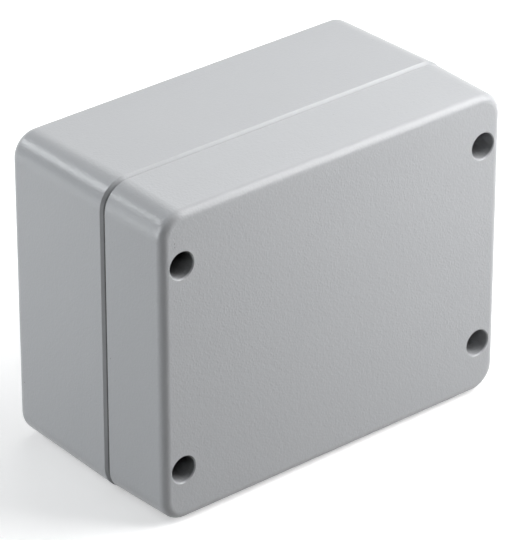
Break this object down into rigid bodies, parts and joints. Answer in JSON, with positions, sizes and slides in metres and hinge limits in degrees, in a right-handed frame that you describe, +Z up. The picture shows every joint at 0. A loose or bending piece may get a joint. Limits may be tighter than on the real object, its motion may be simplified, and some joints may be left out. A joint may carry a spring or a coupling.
{
  "type": "die cast aluminium box",
  "caption": "Rectangular die cast metal box with rounded, drafted sides and a lid held by captive screws sunk in deep wells, coated light grey.",
  "frame": {"origin": "on the surface that the box stands on, under the middle of the closed box", "axes": "+X along the box's long side, +Y out of the base's wall face, so the lid faces -Y, +Z up"},
  "size_m": [0.125, 0.067, 0.098],
  "materials": {
    "grey_coat": "satin powder coat with a fine orange peel",
    "gasket_rubber": "matt moulded rubber",
    "stainless_steel": "turned stainless steel",
    "plated_steel": "bright zinc plating",
    "brass": "pressed brass"
  },
  "bodies": {
    "base": {"base_casting": "grey_coat", "earth_screw": "plated_steel", "earth_washer": "plated_steel", "earth_clamp": "brass"},
    "lid": {"lid_casting": "grey_coat", "lid_gasket": "gasket_rubber"},
    "retainer_lower_left": {"screw_ring_lower_left": "stainless_steel"},
    "captive_screw_lower_left": {"lid_screw_lower_left": "stainless_steel"},
    "retainer_upper_left": {"screw_ring_upper_left": "stainless_steel"},
    "captive_screw_upper_left": {"lid_screw_upper_left": "stainless_steel"},
    "retainer_lower_right": {"screw_ring_lower_right": "stainless_steel"},
    "captive_screw_lower_right": {"lid_screw_lower_right": "stainless_steel"},
    "retainer_upper_right": {"screw_ring_upper_right": "stainless_steel"},
    "captive_screw_upper_right": {"lid_screw_upper_right": "stainless_steel"}
  },
  "joints": [
    {"name": "lid_lift", "type": "slide", "parent": "base", "child": "lid", "axis": [0, -1, 0], "range_m": [0, 0.08]},
    {"name": "screw_rise_lower_left", "type": "slide", "parent": "lid", "child": "retainer_lower_left", "axis": [0, -1, 0], "range_m": [0, 0.007]},
    {"name": "screw_turn_lower_left", "type": "hinge", "parent": "retainer_lower_left", "child": "captive_screw_lower_left", "pos_m": [-0.05475, -0.0134, 0.017], "axis": [0, -1, 0], "range_deg": [0, 3600]},
    {"name": "screw_rise_upper_left", "type": "slide", "parent": "lid", "child": "retainer_upper_left", "axis": [0, -1, 0], "range_m": [0, 0.007]},
    {"name": "screw_turn_upper_left", "type": "hinge", "parent": "retainer_upper_left", "child": "captive_screw_upper_left", "pos_m": [-0.05475, -0.0134, 0.081], "axis": [0, -1, 0], "range_deg": [0, 3600]},
    {"name": "screw_rise_lower_right", "type": "slide", "parent": "lid", "child": "retainer_lower_right", "axis": [0, -1, 0], "range_m": [0, 0.007]},
    {"name": "screw_turn_lower_right", "type": "hinge", "parent": "retainer_lower_right", "child": "captive_screw_lower_right", "pos_m": [0.05475, -0.0134, 0.017], "axis": [0, -1, 0], "range_deg": [0, 3600]},
    {"name": "screw_rise_upper_right", "type": "slide", "parent": "lid", "child": "retainer_upper_right", "axis": [0, -1, 0], "range_m": [0, 0.007]},
    {"name": "screw_turn_upper_right", "type": "hinge", "parent": "retainer_upper_right", "child": "captive_screw_upper_right", "pos_m": [0.05475, -0.0134, 0.081], "axis": [0, -1, 0], "range_deg": [0, 3600]}
  ],
  "couplings": [
    {"joint": "screw_turn_lower_left", "follows": "screw_rise_lower_left", "rad_per_m": 8976},
    {"joint": "screw_turn_upper_left", "follows": "screw_rise_upper_left", "rad_per_m": 8976},
    {"joint": "screw_turn_lower_right", "follows": "screw_rise_lower_right", "rad_per_m": 8976},
    {"joint": "screw_turn_upper_right", "follows": "screw_rise_upper_right", "rad_per_m": 8976}
  ]
}
